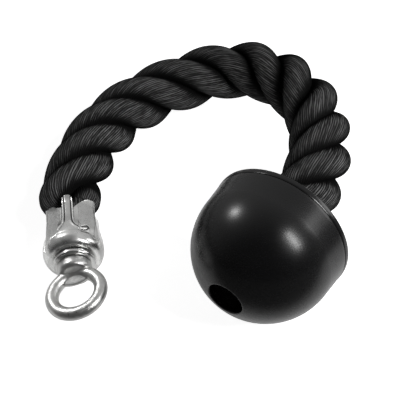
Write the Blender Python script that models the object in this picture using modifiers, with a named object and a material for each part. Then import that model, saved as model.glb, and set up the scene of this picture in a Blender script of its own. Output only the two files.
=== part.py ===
# Single-grip press-down rope: a short three-strand rope bent in a hoop, lying on a floor.
# One end is squeezed in a plated ferrule that carries a swivel eye. The other end is
# screwed into a ball grip. Metres, +Z up, with the origin on the floor under the middle
# of the ferrule, eye and ball.
import math

import bmesh
import bpy
import numpy as np
from mathutils import Matrix, Vector

# Clearances
GAP = 0.0003
CLEARANCE = 0.0004
OVERRUN = 0.002
MERGE_DISTANCE = 1e-6

# Rope
ROPE_DIAMETER = 0.032
ROPE_END_CLEARANCE = 0.0012
ROPE_FLARE_LEAD = 0.0007
ROPE_FLARE_LENGTH = 0.0095
ROPE_STEP = 0.011
CROWN_LENGTH = 0.074
CROWN_MIDDLE = 0.156
CAP_LEAD = 0.0008
ROUTE = [
    (-0.0556, 0.0823, 0.0162),
    (-0.0367, 0.1191, 0.0166),
    (-0.0066, 0.1405, 0.0207),
    (0.0251, 0.1444, 0.0273),
    (0.0488, 0.1271, 0.0323),
    (0.0623, 0.0981, 0.0340),
    (0.0630, 0.0653, 0.0343),
    (0.0545, 0.0349, 0.0347),
]

# Ferrule: a pressed cup, from its mouth at the rope to its flat end at the eye
FERRULE_MOUTH = (-0.0583, 0.0301, 0.0160)
FERRULE_TURN = math.radians(9.5)
SKIRT_RADIUS = 0.0128
SKIRT_STRAIGHT = 0.007
BULGE_RISE = 0.0017
DOME_LENGTH = 0.0061
DOME_DRAW_IN = 0.0033
CUP_LENGTH = 0.0276
CUP_WALL = 0.0014
TONGUE_TURN = math.radians(97)
TONGUE_HALF_ANGLE = math.radians(6)
TONGUE_REACH = 0.0035
TONGUE_ROUNDING = 0.0012
TAB_NEAR_SETBACK = 0.0015
TAB_FAR_REACH = 0.0030
TAB_ANGLE = math.radians(56)
SLOT_ANGLE = math.radians(3)
SLOT_WIDTH = 0.0008
SLOT_DEPTH = 0.012
SIDE_SLOT_DEPTH = 0.012
HOOK_DROP = 0.0070
HOOK_ANGLE = math.radians(21)
HOOK_RETURN = 0.0023
HOOK_RETURN_ANGLE = math.radians(17)

# Collar, swivel eye and thrust washer
SHANK_RADIUS = 0.0042
COLLAR_RADIUS = 0.010
COLLAR_THICKNESS = 0.0028
COLLAR_EDGE = 0.0011
NECK_RADIUS = 0.0077
NECK_LENGTH = 0.0049
NECK_EDGE = 0.0006
NECK_STRAIGHT = 0.0010
NECK_DOME = 0.0066
EYE_RADIUS = 0.01167
EYE_BAR_RADIUS = 0.00315
EYE_FILL = 0.0019
EYE_FILL_WIDTH = 0.0062
EYE_FILL_THICKNESS = 0.0030
EYE_TURN = math.radians(16)
THRUST_WASHER_RADIUS = 0.009
THRUST_WASHER_THICKNESS = 0.0013
WASHER_EDGE = 0.0004
SHANK_HEAD_RADIUS = 0.0074
SHANK_HEAD_THICKNESS = 0.0026
SHANK_HEAD_CROWN = 0.0008

# Ball grip, back cap, end screw and washer
BALL_RADIUS = 0.034
BALL_PLACE = (0.0345, -0.0011)
BALL_HEADING = math.radians(-120.7)
BALL_FLAT = 0.0141
RIM_LIP = 0.00075
CAP_THICKNESS = 0.0014
CAP_EDGE = 0.0004
SEAM_DEPTH = 0.0007
SPIGOT_WALL = 0.0036
SPIGOT_LENGTH = 0.005
SOCKET_DEPTH = 0.0285
WEB_THICKNESS = 0.006
HOLE_RADIUS = 0.0091
HOLE_EDGE = 0.0009
SCREW_SHANK_RADIUS = 0.0024
SCREW_LENGTH = 0.026
SCREW_HEAD_RADIUS = 0.0052
SCREW_HEAD_HEIGHT = 0.0036
SCREW_HEAD_EDGE = 0.0009
SCREW_TIP = 0.003
SCREW_SOCKET_RADIUS = 0.0023
SCREW_SOCKET_DEPTH = 0.0018
SCREW_WASHER_PLAY = 0.0009
SCREW_WASHER_THICKNESS = 0.0014

# Counts
ROUND_STEPS = 48
SMALL_STEPS = 32
BALL_STEPS = 56
SPHERE_POINTS = 18
RING_BAR_STEPS = 16
FILL_STEPS = 24
ROUTE_SAMPLES = 1500
CUP_TONGUES = 2
HEX_SIDES = 6
SMOOTH_ANGLE = math.radians(38)

# Values that follow from the sizes above
ROPE_RADIUS = ROPE_DIAMETER / 2
ROPE_SQUEEZED_RADIUS = SKIRT_RADIUS - CUP_WALL - GAP
ROPE_FLARE_START = TONGUE_REACH + ROPE_FLARE_LEAD
BULGE_RADIUS = SKIRT_RADIUS + BULGE_RISE
BULGE_PLACE = CUP_LENGTH - DOME_LENGTH
CUP_END_RADIUS = BULGE_RADIUS - DOME_DRAW_IN
COLLAR_START = CUP_LENGTH + GAP
COLLAR_END = COLLAR_START + COLLAR_THICKNESS
NECK_START = COLLAR_END + GAP
NECK_END = NECK_START + NECK_LENGTH
EYE_PLACE = NECK_END + EYE_RADIUS
WASHER_TOP = CUP_LENGTH - CUP_WALL - GAP
WASHER_BOTTOM = WASHER_TOP - THRUST_WASHER_THICKNESS
HEAD_TOP = WASHER_BOTTOM - GAP
HEAD_BOTTOM = HEAD_TOP - SHANK_HEAD_THICKNESS
ROPE_IN_FERRULE = HEAD_BOTTOM - ROPE_END_CLEARANCE
SHANK_HOLE_RADIUS = SHANK_RADIUS + CLEARANCE
SOCKET_RADIUS = ROPE_RADIUS + CLEARANCE
SOCKET_END = SOCKET_DEPTH - BALL_FLAT
WEB_END = SOCKET_END + WEB_THICKNESS
GRIP_BACK = CAP_THICKNESS + GAP - BALL_FLAT
SPIGOT_RADIUS = SOCKET_RADIUS + SPIGOT_WALL
RIM_RADIUS = BALL_RADIUS + RIM_LIP
SCREW_WASHER_RADIUS = HOLE_RADIUS - SCREW_WASHER_PLAY
# The ball lies on its round side and on the rim of its flat back, so its hole dips a little.
BALL_DIP = math.atan2(RIM_RADIUS, BALL_FLAT) - math.asin(BALL_RADIUS / math.hypot(RIM_RADIUS, BALL_FLAT))

# Colours: base colour, roughness, metallic
ROPE_BLACK = ((0.012, 0.012, 0.013, 1), 0.72, 0.0)
PLATED_STEEL = ((0.62, 0.62, 0.61, 1), 0.28, 1.0)
CAST_STEEL = ((0.56, 0.56, 0.55, 1), 0.36, 1.0)
BALL_BLACK = ((0.010, 0.010, 0.011, 1), 0.34, 0.0)
SCREW_STEEL = ((0.48, 0.48, 0.48, 1), 0.30, 1.0)


def new_collection(name):
    collection = bpy.data.collections.new(name)
    bpy.context.scene.collection.children.link(collection)
    return collection


def make_material(name, look):
    colour, roughness, metallic = look
    material = bpy.data.materials.new(name)
    material.use_nodes = True
    shader = material.node_tree.nodes["Principled BSDF"]
    shader.inputs["Base Color"].default_value = colour
    shader.inputs["Roughness"].default_value = roughness
    shader.inputs["Metallic"].default_value = metallic
    return material


def add_object(name, data, collection, parent, look):
    """Links an object in the frame of an empty, with a material of its own."""
    item = bpy.data.objects.new(name, data)
    collection.objects.link(item)
    if parent is not None:
        item.parent = parent
    if look is not None:
        data.materials.append(make_material(name, look))
    return item


def add_cutter(name, mesh, cutters, parent):
    cutter = add_object(name, mesh, cutters, parent, None)
    cutter.display_type = "WIRE"
    cutter.hide_render = True
    return cutter


def add_boolean(item, operation, other):
    modifier = item.modifiers.new(operation.title(), "BOOLEAN")
    modifier.operation = operation
    modifier.solver = "EXACT"
    modifier.object = other


def smooth(mesh):
    mesh.shade_smooth()
    mesh.set_sharp_from_angle(angle=SMOOTH_ANGLE)


def turned(name, profile, steps, collection, parent, look):
    """A turned piece about the parent's Z axis. The profile runs down the outer side."""
    mesh = bpy.data.meshes.new(name)
    closed = profile[0][0] > 0 and profile[-1][0] > 0
    count = len(profile)
    edges = [(i, (i + 1) % count) for i in range(count if closed else count - 1)]
    mesh.from_pydata([(r, 0, z) for r, z in profile], edges, [])
    item = add_object(name, mesh, collection, parent, look)
    screw = item.modifiers.new("Screw", "SCREW")
    screw.axis = "Z"
    screw.angle = 2 * math.pi
    screw.steps = steps
    screw.render_steps = steps
    screw.use_merge_vertices = True
    screw.merge_threshold = MERGE_DISTANCE
    screw.use_smooth_shade = False
    return item


def baked(item):
    """Turns an object's modifiers into plain mesh data, shaded smooth away from its edges."""
    bpy.context.view_layer.update()
    graph = bpy.context.evaluated_depsgraph_get()
    mesh = bpy.data.meshes.new_from_object(item.evaluated_get(graph))
    item.modifiers.clear()
    item.data = mesh
    smooth(mesh)
    return item


def arc(centre, radius, start, end, count):
    """Points (r, z) of an arc, angles measured from the +r direction."""
    angles = np.linspace(start, end, count)
    return [(centre[0] + radius * math.cos(a), centre[1] + radius * math.sin(a)) for a in angles]


def ring_profile(inner, outer, low, high, edge):
    """Section of a washer with its two outer edges rounded by chamfers."""
    return [
        (outer - edge, high),
        (outer, high - edge),
        (outer, low + edge),
        (outer - edge, low),
        (inner, low),
        (inner, high),
    ]


def grid_mesh(name, points):
    """A closed ring of sections: points[i][j] is point j of the closed section i."""
    sections, count, _ = points.shape
    mesh = bpy.data.meshes.new(name)
    faces = []
    for i in range(sections):
        following = (i + 1) % sections
        for j in range(count):
            after = (j + 1) % count
            faces.append(
                (i * count + j, i * count + after, following * count + after, following * count + j)
            )
    mesh.from_pydata(points.reshape(-1, 3).tolist(), [], faces)
    return mesh


def sweep_mesh(name, points):
    """A bar through square sections with flat ends: points[i][j] is corner j of section i."""
    sections, count, _ = points.shape
    mesh = bpy.data.meshes.new(name)
    faces = [tuple(range(count)), tuple((sections - 1) * count + j for j in reversed(range(count)))]
    for i in range(sections - 1):
        for j in range(count):
            after = (j + 1) % count
            faces.append((i * count + j, (i + 1) * count + j, (i + 1) * count + after, i * count + after))
    mesh.from_pydata(points.reshape(-1, 3).tolist(), [], faces)
    return mesh


def ferrule_frame():
    """Mouth of the ferrule, with Z towards the eye and Y up."""
    eye_way = Vector((math.sin(FERRULE_TURN), -math.cos(FERRULE_TURN), 0))
    up = Vector((0, 0, 1))
    side = up.cross(eye_way)
    turn = Matrix((side, up, eye_way)).transposed()
    return Matrix.Translation(FERRULE_MOUTH) @ turn.to_4x4()


def ball_frame():
    """Centre of the ball, with Z towards its hole, dipped so that the flat back's rim rests."""
    flat = Vector((math.cos(BALL_HEADING), math.sin(BALL_HEADING), 0))
    hole_way = flat * math.cos(BALL_DIP) - Vector((0, 0, 1)) * math.sin(BALL_DIP)
    side = Vector((0, 0, 1)).cross(hole_way).normalized()
    turn = Matrix((side, hole_way.cross(side), hole_way)).transposed()
    centre = (*BALL_PLACE, BALL_RADIUS)
    return Matrix.Translation(centre) @ turn.to_4x4()


def frame_empty(name, matrix, collection):
    empty = bpy.data.objects.new(name, None)
    empty.matrix_world = matrix
    collection.objects.link(empty)
    return empty


def smooth_route(start, start_way, end, end_way, samples):
    """A cubic curve through the route's points that leaves and arrives in the given ways."""
    points = np.array([start, *ROUTE, end])
    spans = np.linalg.norm(np.diff(points, axis=0), axis=1)
    knots = np.concatenate([[0], np.cumsum(spans)])
    count = len(points)
    matrix = np.eye(count)
    slopes = np.zeros((count, 3))
    slopes[0] = start_way
    slopes[-1] = end_way
    for i in range(1, count - 1):
        before, after = spans[i - 1], spans[i]
        matrix[i, i - 1 : i + 2] = after, 2 * (before + after), before
        rise_before = (points[i] - points[i - 1]) / before
        rise_after = (points[i + 1] - points[i]) / after
        slopes[i] = 3 * (after * rise_before + before * rise_after)
    slopes = np.linalg.solve(matrix, slopes)
    at = np.linspace(0, knots[-1], samples)
    span = np.clip(np.searchsorted(knots, at, side="right") - 1, 0, count - 2)
    width = spans[span][:, None]
    u = (at - knots[span])[:, None] / width
    return (
        (1 + 2 * u) * (1 - u) ** 2 * points[span]
        + u * (1 - u) ** 2 * width * slopes[span]
        + u**2 * (3 - 2 * u) * points[span + 1]
        + u**2 * (u - 1) * width * slopes[span + 1]
    )


class Rope:
    """The rope's centreline by its length from the ferrule's mouth, straight inside both ends."""

    def __init__(self, ferrule, ball):
        self.start = np.array(ferrule.translation)
        self.start_way = -np.array(ferrule.col[2][:3])
        self.end_way = np.array(ball.col[2][:3])
        self.end = np.array(ball.translation) - BALL_FLAT * self.end_way
        self.points = smooth_route(self.start, self.start_way, self.end, self.end_way, ROUTE_SAMPLES)
        steps = np.linalg.norm(np.diff(self.points, axis=0), axis=1)
        self.lengths = np.concatenate([[0], np.cumsum(steps)])
        self.length = self.lengths[-1]
        ways = np.gradient(self.points, self.lengths, axis=0)
        ways[0] = self.start_way
        ways[-1] = self.end_way
        self.ways = ways / np.linalg.norm(ways, axis=1)[:, None]

    def at(self, place):
        """Point and direction at a length, which may lie inside the ferrule or the ball."""
        if place <= 0:
            return self.start + place * self.start_way, self.start_way
        if place >= self.length:
            return self.end + (place - self.length) * self.end_way, self.end_way
        point = np.array([np.interp(place, self.lengths, self.points[:, k]) for k in range(3)])
        way = np.array([np.interp(place, self.lengths, self.ways[:, k]) for k in range(3)])
        return point, way / np.linalg.norm(way)

    def radius(self, place):
        """Squeezed in the ferrule, then swelling to the full size over the flare."""
        u = np.clip((place - ROPE_FLARE_START) / ROPE_FLARE_LENGTH, 0, 1)
        return ROPE_SQUEEZED_RADIUS + (ROPE_RADIUS - ROPE_SQUEEZED_RADIUS) * math.sin(u * math.pi / 2)


def rope_places(start, end, fixed):
    """Lengths of a tube's rings: even steps between the fixed places, and a short lead at each end."""
    stops = [start + CAP_LEAD, *fixed, end - CAP_LEAD]
    places = [start]
    for low, high in zip(stops, stops[1:]):
        count = max(1, round((high - low) / ROPE_STEP))
        places.extend(np.linspace(low, high, count + 1)[:-1])
    return [*places, end - CAP_LEAD, end]


def rope_tube(name, rope, start, end, fixed, collection, parent):
    """A stretch of the rope as a tube whose ends are square to the centreline."""
    first, first_way = rope.at(start)
    last, last_way = rope.at(end)
    places = rope_places(start, end, fixed)
    curve = bpy.data.curves.new(name, "CURVE")
    curve.dimensions = "3D"
    curve.bevel_depth = ROPE_RADIUS
    curve.bevel_resolution = 4
    curve.use_fill_caps = True
    spline = curve.splines.new("POLY")
    spline.points.add(len(places) - 1)
    for point, place in zip(spline.points, places):
        centre = rope.at(place)[0]
        if place == places[1]:
            centre = first + first_way * (place - start)
        if place == places[-2]:
            centre = last - last_way * (end - place)
        point.co = (*centre, 1)
        point.radius = rope.radius(place) / ROPE_RADIUS
    item = add_object(name, curve, collection, None, None)
    item.parent = parent
    item.matrix_parent_inverse = parent.matrix_world.inverted()
    return item


def rope_mesh(curve_item, collection):
    """The same tube as a mesh with its caps welded, so that it can be cut."""
    bpy.context.view_layer.update()
    graph = bpy.context.evaluated_depsgraph_get()
    mesh = bpy.data.meshes.new_from_object(curve_item.evaluated_get(graph))
    work = bmesh.new()
    work.from_mesh(mesh)
    bmesh.ops.remove_doubles(work, verts=work.verts, dist=MERGE_DISTANCE)
    work.to_mesh(mesh)
    work.free()
    name = curve_item.name
    place = curve_item.matrix_world.copy()
    parent = curve_item.parent
    bpy.data.objects.remove(curve_item)
    item = add_object(name, mesh, collection, parent, ROPE_BLACK)
    item.matrix_world = place
    smooth(mesh)
    return item


def cup_radius(z, inset):
    """Outer radius of the cup at inset 0, or its inner radius at an inset of the wall."""
    skirt = SKIRT_RADIUS - inset
    bulge = BULGE_RADIUS - inset
    if z <= BULGE_PLACE:
        u = max(0, (z - SKIRT_STRAIGHT) / (BULGE_PLACE - SKIRT_STRAIGHT))
        return skirt + (bulge - skirt) * u * u * (3 - 2 * u)
    end = CUP_END_RADIUS - inset
    u = min(1, (z - BULGE_PLACE) / (CUP_LENGTH - inset - BULGE_PLACE))
    return end + (bulge - end) * math.sqrt(1 - u * u)


def cup_angles():
    """Angles from a tongue's middle round half the cup, with the mouth's edge at each."""
    slot = TONGUE_HALF_ANGLE
    tab = slot + SLOT_ANGLE
    side_slot = tab + TAB_ANGLE
    lug = side_slot + SLOT_ANGLE
    half_turn = 2 * math.pi / CUP_TONGUES
    right = []
    for angle in np.linspace(0, slot, 3):
        right.append((angle, TONGUE_ROUNDING * (angle / slot) ** 2 - TONGUE_REACH))
    for angle in np.linspace(tab, side_slot, 9):
        share = (angle - tab) / TAB_ANGLE
        right.append((angle, TAB_NEAR_SETBACK - (TAB_NEAR_SETBACK + TAB_FAR_REACH) * share))
    for angle in np.linspace(lug, half_turn / 2, 3):
        right.append((angle, 0))
    left = [(half_turn - angle, mouth) for angle, mouth in reversed(right[1:-1])]
    return right + left


def cup_section(mouth):
    """Closed section of the cup's wall as (r, z), from the mouth over the outside and back inside."""
    skirt_rows = [SKIRT_STRAIGHT / 2, *np.linspace(SKIRT_STRAIGHT, BULGE_PLACE, 6)]
    dome_shares = [0.35, 0.62, 0.82, 0.95, 1]
    outside = [(cup_radius(mouth, 0), mouth)]
    inside = [(cup_radius(mouth, CUP_WALL), mouth)]
    for z in skirt_rows:
        outside.append((cup_radius(z, 0), z))
        inside.append((cup_radius(z, CUP_WALL), z))
    for share in dome_shares:
        z = BULGE_PLACE + (CUP_LENGTH - BULGE_PLACE) * share
        outside.append((cup_radius(z, 0), z))
        z = BULGE_PLACE + (CUP_LENGTH - CUP_WALL - BULGE_PLACE) * share
        inside.append((cup_radius(z, CUP_WALL), z))
    outside.append((SHANK_HOLE_RADIUS, CUP_LENGTH))
    inside.append((SHANK_HOLE_RADIUS, CUP_LENGTH - CUP_WALL))
    return outside + inside[::-1]


def hook_path(side):
    """A slot's line (angle, z) beside a tongue, which turns outwards at its foot like a J."""
    start = TONGUE_HALF_ANGLE + SLOT_ANGLE / 2
    path = [(start, -TONGUE_REACH - OVERRUN), (start, 0), (start, SLOT_DEPTH)]
    for turn in np.linspace(0, math.pi / 2, 6)[1:]:
        angle = start + HOOK_ANGLE * (1 - math.cos(turn))
        path.append((angle, SLOT_DEPTH + HOOK_DROP * math.sin(turn)))
    for share in np.linspace(0, 1, 5)[1:]:
        angle = start + HOOK_ANGLE + HOOK_RETURN_ANGLE * share
        path.append((angle, SLOT_DEPTH + HOOK_DROP - HOOK_RETURN * share**2))
    return [(side * angle, z) for angle, z in path]


def side_slot_path(side):
    angle = side * (TONGUE_HALF_ANGLE + SLOT_ANGLE + TAB_ANGLE + SLOT_ANGLE / 2)
    return [(angle, -TAB_FAR_REACH - OVERRUN), (angle, SIDE_SLOT_DEPTH)]


def slot_bar(path, turn):
    """Sections of a bar that follows a slot's line and passes through the cup's wall."""
    line = np.array([(angle * SKIRT_RADIUS, z) for angle, z in path])
    ways = np.gradient(line, axis=0)
    ways /= np.linalg.norm(ways, axis=1)[:, None]
    across = np.stack([-ways[:, 1], ways[:, 0]], axis=1) * SLOT_WIDTH / 2
    sections = []
    for (along, z), (step_along, step_z) in zip(line, across):
        section = []
        for side, radius_at in ((1, 0), (1, 1), (-1, 1), (-1, 0)):
            angle = turn + (along + side * step_along) / SKIRT_RADIUS
            height = z + side * step_z
            low = cup_radius(height, CUP_WALL) - CUP_WALL
            high = cup_radius(height, 0) + CUP_WALL
            radius = high if radius_at else low
            section.append((radius * math.cos(angle), radius * math.sin(angle), height))
        sections.append(section)
    return np.array(sections)


def joined_mesh(name, meshes):
    work = bmesh.new()
    for mesh in meshes:
        work.from_mesh(mesh)
    bmesh.ops.recalc_face_normals(work, faces=work.faces)
    joined = bpy.data.meshes.new(name)
    work.to_mesh(joined)
    work.free()
    return joined


def make_cup(parts, cutters, frame):
    """Pressed cup: two long tongues, four tabs with slanted ends and J-shaped slots."""
    half_turn = 2 * math.pi / CUP_TONGUES
    sections = []
    bars = []
    for k in range(CUP_TONGUES):
        turn = TONGUE_TURN + k * half_turn
        for angle, mouth in cup_angles():
            way = turn + angle
            sections.append([(r * math.cos(way), r * math.sin(way), z) for r, z in cup_section(mouth)])
        for side in (1, -1):
            bars.append(sweep_mesh("slot", slot_bar(hook_path(side), turn)))
            bars.append(sweep_mesh("side_slot", slot_bar(side_slot_path(side), turn)))
    shell = joined_mesh("ferrule_cup", [grid_mesh("cup", np.array(sections))])
    cup = add_object("ferrule_cup", shell, parts, frame, PLATED_STEEL)
    slots = add_cutter("ferrule_slots", joined_mesh("ferrule_slots", bars), cutters, frame)
    add_boolean(cup, "DIFFERENCE", slots)
    baked(cup)


def make_collar(parts, frame):
    profile = ring_profile(SHANK_HOLE_RADIUS, COLLAR_RADIUS, COLLAR_START, COLLAR_END, COLLAR_EDGE)
    baked(turned("collar_ring", profile, ROUND_STEPS, parts, frame, PLATED_STEEL))


def make_thrust_washer(parts, frame):
    profile = ring_profile(SHANK_HOLE_RADIUS, THRUST_WASHER_RADIUS, WASHER_BOTTOM, WASHER_TOP, WASHER_EDGE)
    baked(turned("thrust_washer", profile, SMALL_STEPS, parts, frame, SCREW_STEEL))


def make_eye(parts, cutters, frame):
    """Cast eye: ring, filled foot, domed neck, shank through the cup and formed head inside it."""
    dome_start = NECK_START + NECK_STRAIGHT
    profile = [(0, dome_start + NECK_DOME)]
    for angle in np.linspace(math.pi / 2, 0, 7)[1:]:
        profile.append((NECK_RADIUS * math.cos(angle), dome_start + NECK_DOME * math.sin(angle)))
    profile += [
        (NECK_RADIUS, NECK_START + NECK_EDGE),
        (NECK_RADIUS - NECK_EDGE, NECK_START),
        (SHANK_RADIUS, NECK_START),
        (SHANK_RADIUS, HEAD_TOP),
        (SHANK_HEAD_RADIUS, HEAD_TOP),
        (SHANK_HEAD_RADIUS, HEAD_BOTTOM + SHANK_HEAD_CROWN),
        (SHANK_HEAD_RADIUS - SHANK_HEAD_CROWN, HEAD_BOTTOM),
        (0, HEAD_BOTTOM),
    ]
    eye = turned("swivel_eye", profile, ROUND_STEPS, parts, frame, CAST_STEEL)
    upright = Matrix.Rotation(EYE_TURN, 4, "Z") @ Matrix.Rotation(math.pi / 2, 4, "X")
    bpy.ops.mesh.primitive_torus_add(
        major_radius=EYE_RADIUS,
        minor_radius=EYE_BAR_RADIUS,
        major_segments=ROUND_STEPS,
        minor_segments=RING_BAR_STEPS,
    )
    torus = bpy.context.object.data
    bpy.data.objects.remove(bpy.context.object)
    torus.transform(Matrix.Translation((0, 0, EYE_PLACE)) @ upright)
    add_boolean(eye, "UNION", add_cutter("eye_ring", torus, cutters, frame))
    work = bmesh.new()
    bmesh.ops.create_uvsphere(work, u_segments=FILL_STEPS, v_segments=FILL_STEPS // 2, radius=1)
    fill = bpy.data.meshes.new("eye_fill")
    work.to_mesh(fill)
    work.free()
    sizes = Matrix.Diagonal((EYE_FILL_WIDTH, EYE_BAR_RADIUS + EYE_FILL, EYE_FILL_THICKNESS, 1))
    fill.transform(Matrix.Translation((0, 0, NECK_END)) @ upright @ sizes)
    add_boolean(eye, "UNION", add_cutter("eye_fill", fill, cutters, frame))
    baked(eye)


def side_radius(z):
    """Radius of the ball's side between its round half and the rim of its flat back."""
    return BALL_RADIUS + (RIM_RADIUS - BALL_RADIUS) * -z / BALL_FLAT


def make_ball_grip(parts, frame):
    """Ball with a flat back, a socket for the rope and a counterbored hole in front."""
    rim = HOLE_RADIUS + HOLE_EDGE
    rim_angle = math.acos(rim / BALL_RADIUS)
    recess_radius = SPIGOT_RADIUS + CLEARANCE
    recess_end = CAP_THICKNESS + SPIGOT_LENGTH + GAP - BALL_FLAT
    screw_hole_radius = SCREW_SHANK_RADIUS + CLEARANCE
    profile = [
        *arc((0, 0), BALL_RADIUS, rim_angle, 0, SPHERE_POINTS),
        (side_radius(GRIP_BACK + SEAM_DEPTH), GRIP_BACK + SEAM_DEPTH),
        (side_radius(GRIP_BACK) - SEAM_DEPTH, GRIP_BACK),
        (recess_radius, GRIP_BACK),
        (recess_radius, recess_end),
        (SOCKET_RADIUS, recess_end),
        (SOCKET_RADIUS, SOCKET_END),
        (screw_hole_radius, SOCKET_END),
        (screw_hole_radius, WEB_END),
        (HOLE_RADIUS, WEB_END),
        (HOLE_RADIUS, BALL_RADIUS * math.sin(rim_angle) - HOLE_EDGE),
    ]
    baked(turned("ball_grip", profile, BALL_STEPS, parts, frame, BALL_BLACK))


def make_back_cap(parts, frame):
    """Disc on the ball's flat back, with a spigot pressed in round the rope."""
    back = -BALL_FLAT
    front = back + CAP_THICKNESS
    profile = [
        (SPIGOT_RADIUS, front + SPIGOT_LENGTH),
        (SPIGOT_RADIUS, front),
        (side_radius(front) - CAP_EDGE, front),
        (side_radius(front - CAP_EDGE), front - CAP_EDGE),
        (side_radius(back + CAP_EDGE), back + CAP_EDGE),
        (RIM_RADIUS - CAP_EDGE, back),
        (SOCKET_RADIUS, back),
        (SOCKET_RADIUS, front + SPIGOT_LENGTH),
    ]
    baked(turned("ball_back_cap", profile, BALL_STEPS, parts, frame, BALL_BLACK))


def make_screw(parts, cutters, frame):
    """Screw from the ball's hole into the rope's end, and the washer under its head."""
    washer_start = WEB_END + GAP
    washer_end = washer_start + SCREW_WASHER_THICKNESS
    inner = SCREW_SHANK_RADIUS + CLEARANCE
    profile = ring_profile(inner, SCREW_WASHER_RADIUS, washer_start, washer_end, WASHER_EDGE)
    baked(turned("screw_washer", profile, SMALL_STEPS, parts, frame, SCREW_STEEL))
    head_start = washer_end + GAP
    head_end = head_start + SCREW_HEAD_HEIGHT
    tip = head_start - SCREW_LENGTH
    profile = [
        (0, head_end),
        (SCREW_HEAD_RADIUS - SCREW_HEAD_EDGE, head_end),
        (SCREW_HEAD_RADIUS, head_end - SCREW_HEAD_EDGE),
        (SCREW_HEAD_RADIUS, head_start),
        (SCREW_SHANK_RADIUS, head_start),
        (SCREW_SHANK_RADIUS, tip + SCREW_TIP),
        (0, tip),
    ]
    screw = turned("end_screw", profile, SMALL_STEPS, parts, frame, SCREW_STEEL)
    height = SCREW_SOCKET_DEPTH + OVERRUN
    work = bmesh.new()
    bmesh.ops.create_cone(
        work,
        cap_ends=True,
        segments=HEX_SIDES,
        radius1=SCREW_SOCKET_RADIUS,
        radius2=SCREW_SOCKET_RADIUS,
        depth=height,
        matrix=Matrix.Translation((0, 0, head_end - SCREW_SOCKET_DEPTH + height / 2)),
    )
    socket = bpy.data.meshes.new("screw_socket")
    work.to_mesh(socket)
    work.free()
    add_boolean(screw, "DIFFERENCE", add_cutter("screw_socket", socket, cutters, frame))
    baked(screw)
    return tip


def make_rope(parts, cutters, rope, ferrule, flex, ball, screw_tip):
    """Three stretches of one rope: in the ferrule, the crown that bends, and into the ball."""
    crown_start = CROWN_MIDDLE - CROWN_LENGTH / 2
    crown_end = CROWN_MIDDLE + CROWN_LENGTH / 2
    flare_shares = (0, 0.12, 0.3, 0.55, 1)
    flare = [ROPE_FLARE_START + ROPE_FLARE_LENGTH * share for share in flare_shares]
    start = -ROPE_IN_FERRULE
    end = rope.length + SOCKET_DEPTH - GAP
    side = rope_tube("rope_ferrule_side", rope, start, crown_start - GAP / 2, flare, parts, ferrule)
    rope_mesh(side, parts)
    crown = rope_tube("rope_crown", rope, crown_start + GAP / 2, crown_end - GAP / 2, [], parts, flex)
    rope_mesh(crown, parts)
    inner = [rope.length]
    side = rope_tube("rope_ball_side", rope, crown_end + GAP / 2, end, inner, parts, flex)
    side = rope_mesh(side, parts)
    rope_end = SOCKET_END - GAP
    depth = rope_end - screw_tip + CLEARANCE
    work = bmesh.new()
    bmesh.ops.create_cone(
        work,
        cap_ends=True,
        segments=SMALL_STEPS,
        radius1=SCREW_SHANK_RADIUS + CLEARANCE,
        radius2=SCREW_SHANK_RADIUS + CLEARANCE,
        depth=depth + OVERRUN,
        matrix=Matrix.Translation((0, 0, rope_end - depth + (depth + OVERRUN) / 2)),
    )
    bore = bpy.data.meshes.new("rope_screw_bore")
    work.to_mesh(bore)
    work.free()
    add_boolean(side, "DIFFERENCE", add_cutter("rope_screw_bore", bore, cutters, ball))
    baked(side)


def main():
    for item in list(bpy.data.objects):
        bpy.data.objects.remove(item)
    parts = new_collection("press_down_rope")
    cutters = new_collection("cutters")
    ferrule_matrix = ferrule_frame()
    ball_matrix = ball_frame()
    rope = Rope(ferrule_matrix, ball_matrix)
    pivot = Matrix.Translation(rope.at(CROWN_MIDDLE)[0])
    ferrule = frame_empty("ferrule_axis", ferrule_matrix, parts)
    flex = frame_empty("rope_flex_axis", pivot, parts)
    ball = frame_empty("ball_axis", ball_matrix, parts)
    bpy.context.view_layer.update()
    ball.parent = flex
    ball.matrix_parent_inverse = pivot.inverted()
    make_cup(parts, cutters, ferrule)
    make_collar(parts, ferrule)
    make_thrust_washer(parts, ferrule)
    make_eye(parts, cutters, ferrule)
    make_ball_grip(parts, ball)
    make_back_cap(parts, ball)
    screw_tip = make_screw(parts, cutters, ball)
    make_rope(parts, cutters, rope, ferrule, flex, ball, screw_tip)
    print("rope length between ferrule and ball", round(rope.length, 5))
    print("flex pivot", [round(v, 5) for v in pivot.translation])
    print("ferrule axis", [round(v, 5) for v in ferrule_matrix.col[2]])
    print("ball axis", [round(v, 5) for v in ball_matrix.col[2]])
    print("ball back face centre", [round(float(v), 5) for v in rope.end])


main()
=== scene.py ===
import math

import bmesh
import bpy
import numpy as np
from mathutils import Matrix, Vector


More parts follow.
